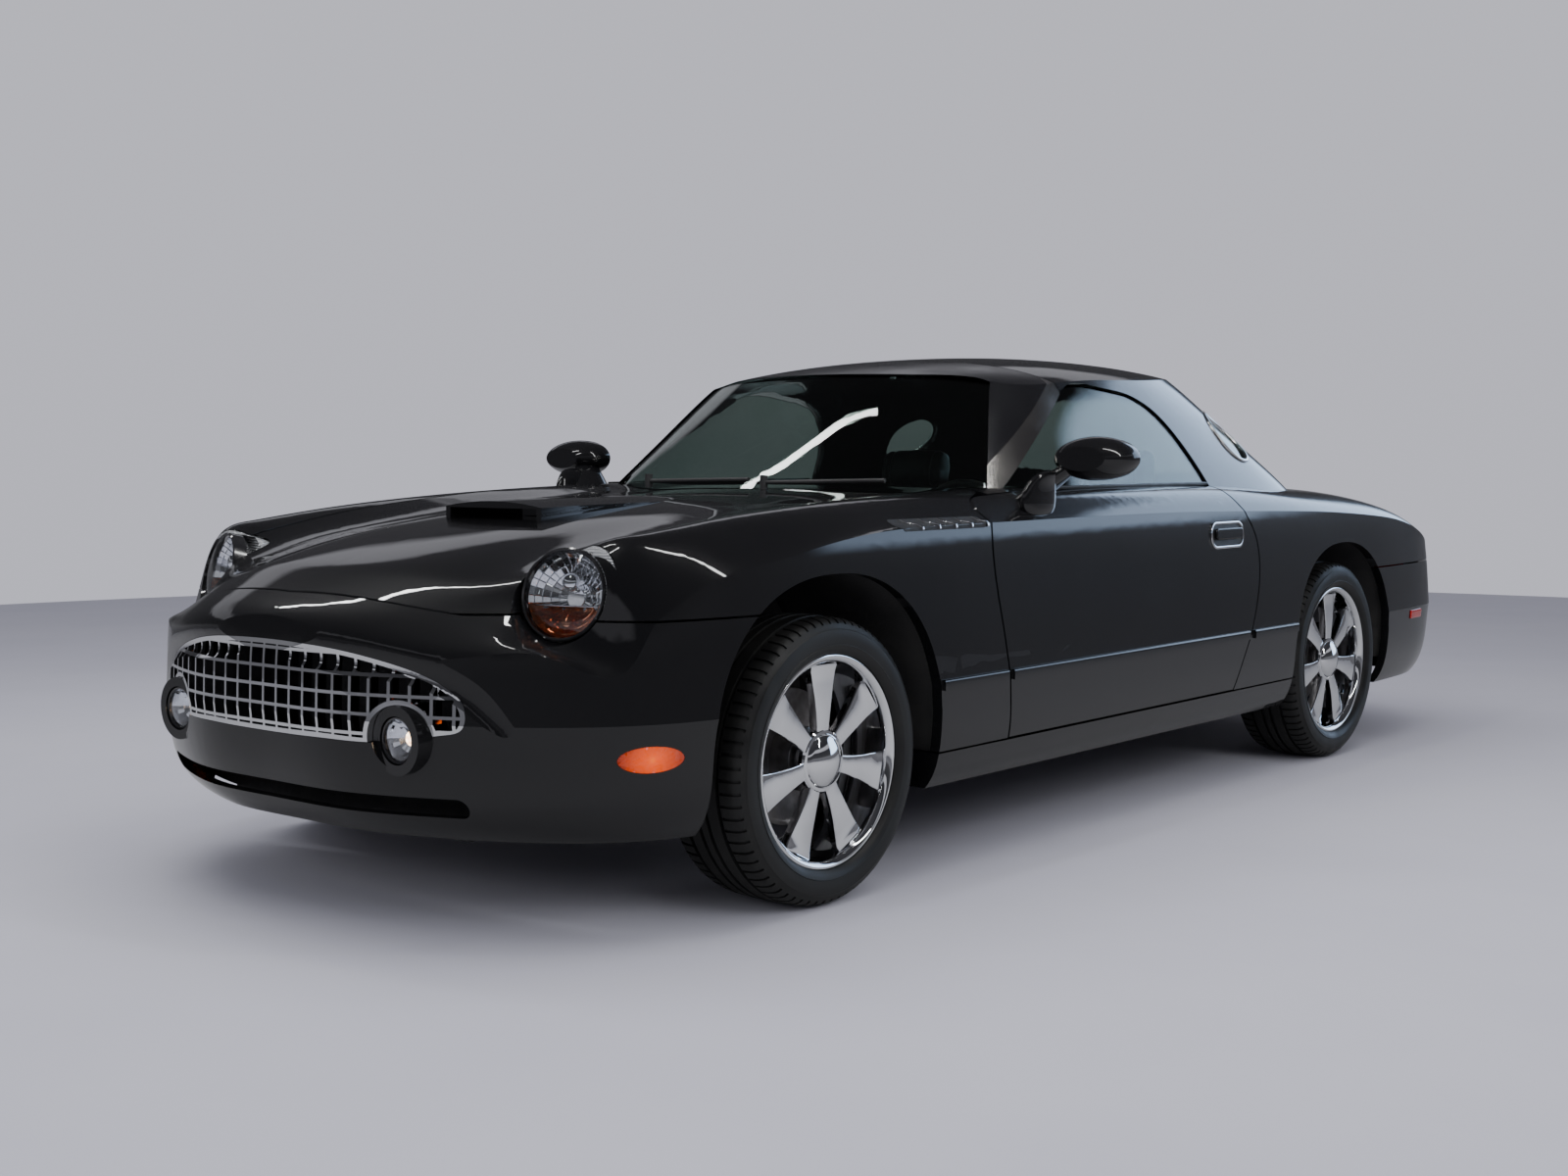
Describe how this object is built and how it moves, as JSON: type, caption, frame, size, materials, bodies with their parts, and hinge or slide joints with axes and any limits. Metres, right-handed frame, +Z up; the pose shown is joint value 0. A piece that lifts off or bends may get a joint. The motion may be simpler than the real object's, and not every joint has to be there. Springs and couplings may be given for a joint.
{
  "type": "two-seat roadster car",
  "caption": "Black two-seat roadster with a fitted hard top, round side windows, an oval egg-crate grille, chrome wheels, opening doors, hood and boot.",
  "frame": {"origin": "centre of the car's plan on the ground", "axes": "+X is the car's left side, -Y points ahead, +Z is up"},
  "size_m": [2.152, 4.7327, 1.3237],
  "materials": {
    "body_paint": "deep black gloss paint under clear coat",
    "chrome": "bright chrome plate",
    "glass": "light green tinted glass",
    "lamp_glass": "clear lamp lens over bright reflectors",
    "tail_glass": "deep red lamp lens",
    "tyre_rubber": "matt black rubber",
    "underbody": "satin black primer and underseal",
    "engine_metal": "cast aluminium",
    "exhaust_steel": "stainless steel",
    "trim_black": "grained black plastic",
    "seat_leather": "black leather with sewn channels"
  },
  "bodies": {
    "chassis": {"front_bumper": "body_paint", "rear_bumper": "body_paint", "rear_deck": "body_paint", "cowl": "body_paint", "sills": "body_paint", "windscreen_frame": "body_paint", "hardtop": "body_paint", "front_fender_left": "body_paint", "front_fender_right": "body_paint", "rear_quarter_left": "body_paint", "rear_quarter_right": "body_paint", "grille": "chrome", "windscreen": "glass", "hardtop_glass": "glass", "headlamps": "lamp_glass", "bumper_lamps": "lamp_glass", "tail_lamps": "tail_glass", "floor": "underbody", "bulkheads": "underbody", "trunk_floor": "underbody", "wheelhouses": "underbody", "front_subframe": "underbody", "rear_subframe": "underbody", "engine": "engine_metal", "exhaust": "exhaust_steel", "dashboard": "trim_black", "console": "trim_black", "wipers": "trim_black", "steering_column": "trim_black", "seat_left": "seat_leather", "seat_right": "seat_leather"},
    "hood": {"hood": "body_paint"},
    "decklid": {"decklid": "body_paint"},
    "steering_wheel": {"steering_wheel": "trim_black"},
    "door_left": {"door_left": "body_paint", "side_glass_left": "glass", "mirror_left": "body_paint"},
    "knuckle_left": {"knuckle_left": "underbody"},
    "wheel_front_left": {"rim_front_left": "chrome", "tyre_front_left": "tyre_rubber"},
    "wheel_rear_left": {"rim_rear_left": "chrome", "tyre_rear_left": "tyre_rubber"},
    "door_right": {"door_right": "body_paint", "side_glass_right": "glass", "mirror_right": "body_paint"},
    "knuckle_right": {"knuckle_right": "underbody"},
    "wheel_front_right": {"rim_front_right": "chrome", "tyre_front_right": "tyre_rubber"},
    "wheel_rear_right": {"rim_rear_right": "chrome", "tyre_rear_right": "tyre_rubber"}
  },
  "joints": [
    {"name": "steer_left", "type": "hinge", "parent": "chassis", "child": "knuckle_left", "pos_m": [0.7, -1.476, 0.33], "axis": [0, 0, 1], "range_deg": [-33, 33]},
    {"name": "steer_right", "type": "hinge", "parent": "chassis", "child": "knuckle_right", "pos_m": [-0.7, -1.476, 0.33], "axis": [0, 0, 1], "range_deg": [-33, 33]},
    {"name": "steering_turn", "type": "hinge", "parent": "chassis", "child": "steering_wheel", "pos_m": [0.385, -0.17, 0.77], "axis": [0, 0.9136, 0.4067], "range_deg": [-530, 530]},
    {"name": "spin_front_left", "type": "hinge", "parent": "knuckle_left", "child": "wheel_front_left", "pos_m": [0.768, -1.476, 0.33], "axis": [1, 0, 0], "continuous": true},
    {"name": "spin_front_right", "type": "hinge", "parent": "knuckle_right", "child": "wheel_front_right", "pos_m": [-0.768, -1.476, 0.33], "axis": [1, 0, 0], "continuous": true},
    {"name": "spin_rear_left", "type": "hinge", "parent": "chassis", "child": "wheel_rear_left", "pos_m": [0.768, 1.247, 0.33], "axis": [1, 0, 0], "continuous": true},
    {"name": "spin_rear_right", "type": "hinge", "parent": "chassis", "child": "wheel_rear_right", "pos_m": [-0.768, 1.247, 0.33], "axis": [1, 0, 0], "continuous": true},
    {"name": "door_swing_left", "type": "hinge", "parent": "chassis", "child": "door_left", "pos_m": [0.9165, -0.866, 0.6], "axis": [0, 0, -1], "range_deg": [0, 65]},
    {"name": "door_swing_right", "type": "hinge", "parent": "chassis", "child": "door_right", "pos_m": [-0.9165, -0.866, 0.6], "axis": [0, 0, 1], "range_deg": [0, 65]},
    {"name": "hood_lift", "type": "hinge", "parent": "chassis", "child": "hood", "pos_m": [0, -0.65, 0.936], "axis": [-1, 0, 0], "range_deg": [0, 50]},
    {"name": "decklid_lift", "type": "hinge", "parent": "chassis", "child": "decklid", "pos_m": [0, 1.5615, 0.906], "axis": [1, 0, 0], "range_deg": [0, 60]}
  ],
  "couplings": [
    {"joint": "steer_right", "follows": "steer_left", "ratio": 1},
    {"joint": "steering_turn", "follows": "steer_left", "ratio": 16}
  ]
}
